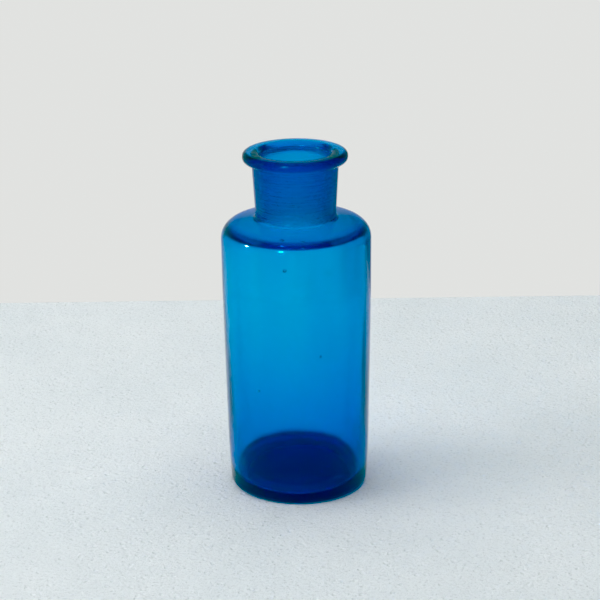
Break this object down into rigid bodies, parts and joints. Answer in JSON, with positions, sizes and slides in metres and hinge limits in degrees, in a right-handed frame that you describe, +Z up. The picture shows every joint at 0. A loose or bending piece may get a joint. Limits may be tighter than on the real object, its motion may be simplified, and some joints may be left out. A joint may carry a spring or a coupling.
{
  "type": "medicine bottle",
  "caption": "Transparent blue glass medicine bottle with a tall cylindrical body, rounded shoulder, short wide neck and thick rounded lip.",
  "frame": {"origin": "centre of the flat ring that the bottle stands on", "axes": "+Z up along the bottle's axis, out of the mouth; the bottle is round, so X and Y are free"},
  "size_m": [0.0898, 0.0898, 0.2094],
  "materials": {
    "blue_glass": "clear, fire-polished, faintly uneven, coloured through its thickness",
    "lip_glass": "clear, fire-polished, darker where it is thick"
  },
  "bodies": {
    "root": {"bottle_body": "blue_glass", "applied_lip": "lip_glass"}
  },
  "joints": []
}
